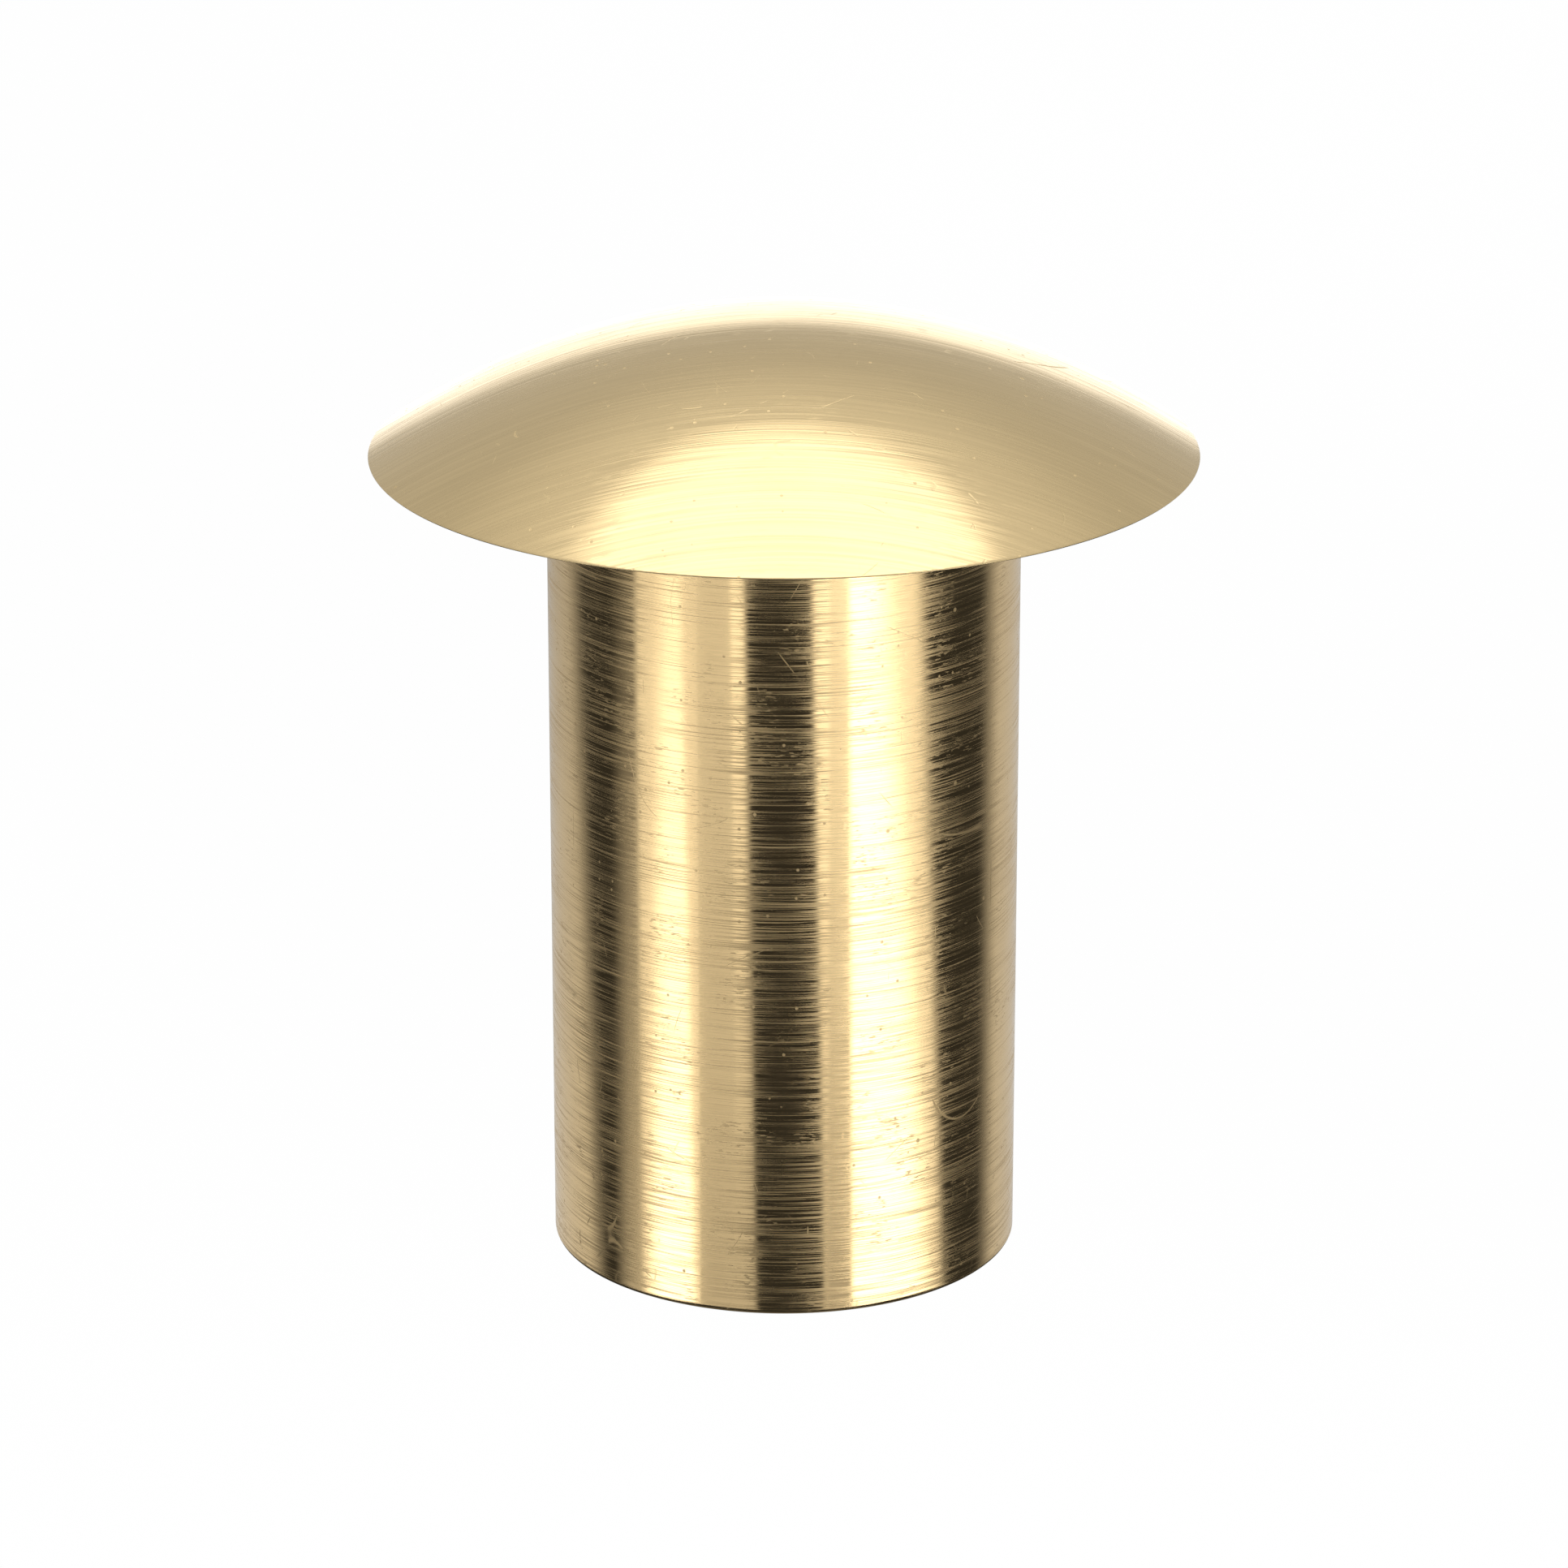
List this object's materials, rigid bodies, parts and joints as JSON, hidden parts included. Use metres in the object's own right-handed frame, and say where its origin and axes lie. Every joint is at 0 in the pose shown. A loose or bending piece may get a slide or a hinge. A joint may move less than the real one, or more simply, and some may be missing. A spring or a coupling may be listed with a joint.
{
  "type": "thru hull fitting",
  "caption": "Brass thru-hull vent: a smooth open barrel with a hull flange under a closed mushroom dome, which a thumb key and screwed spindle lift off its seat.",
  "frame": {"origin": "centre of the barrel's lower, inboard end, the plane it stands on", "axes": "+Z along the barrel towards the dome, outboard; +X towards the openings of the bore circlips"},
  "size_m": [0.074, 0.074, 0.0861],
  "materials": {
    "satin_brass": "satin, brushed in straight parallel lines, with fine scratches",
    "turned_brass": "bright turned, with fine lines round the axis",
    "cast_brass": "matt, fine sand casting, unpolished",
    "gauze": "woven wire",
    "stainless": "spring steel, fine ground",
    "rubber": "matt black, moulded"
  },
  "bodies": {
    "hull_body": {"barrel": "turned_brass", "hull_flange": "turned_brass", "hull_gasket": "rubber", "bridge": "cast_brass", "bridge_circlip_lower": "stainless", "bridge_circlip_upper": "stainless", "screen_circlip_lower": "stainless", "screen_circlip_upper": "stainless", "insect_screen": "gauze", "screen_rim": "turned_brass", "screen_eyelet": "turned_brass"},
    "valve_body": {"valve_plate": "turned_brass", "lip_seal": "rubber"},
    "screw_body": {"dome_cap": "satin_brass", "thrust_washer": "stainless", "spindle": "turned_brass", "plate_clip": "stainless", "wing_key": "cast_brass", "wing_pin": "stainless"}
  },
  "joints": [
    {"name": "cap_lift", "type": "slide", "parent": "hull_body", "child": "valve_body", "axis": [0, 0, 1], "range_m": [0, 0.008]},
    {"name": "cap_turn", "type": "hinge", "parent": "valve_body", "child": "screw_body", "pos_m": [0, 0, 0.02], "axis": [0, 0, 1], "range_deg": [0, 1440]}
  ],
  "couplings": [
    {"joint": "cap_lift", "follows": "cap_turn", "m_per_rad": 0.00031831}
  ]
}
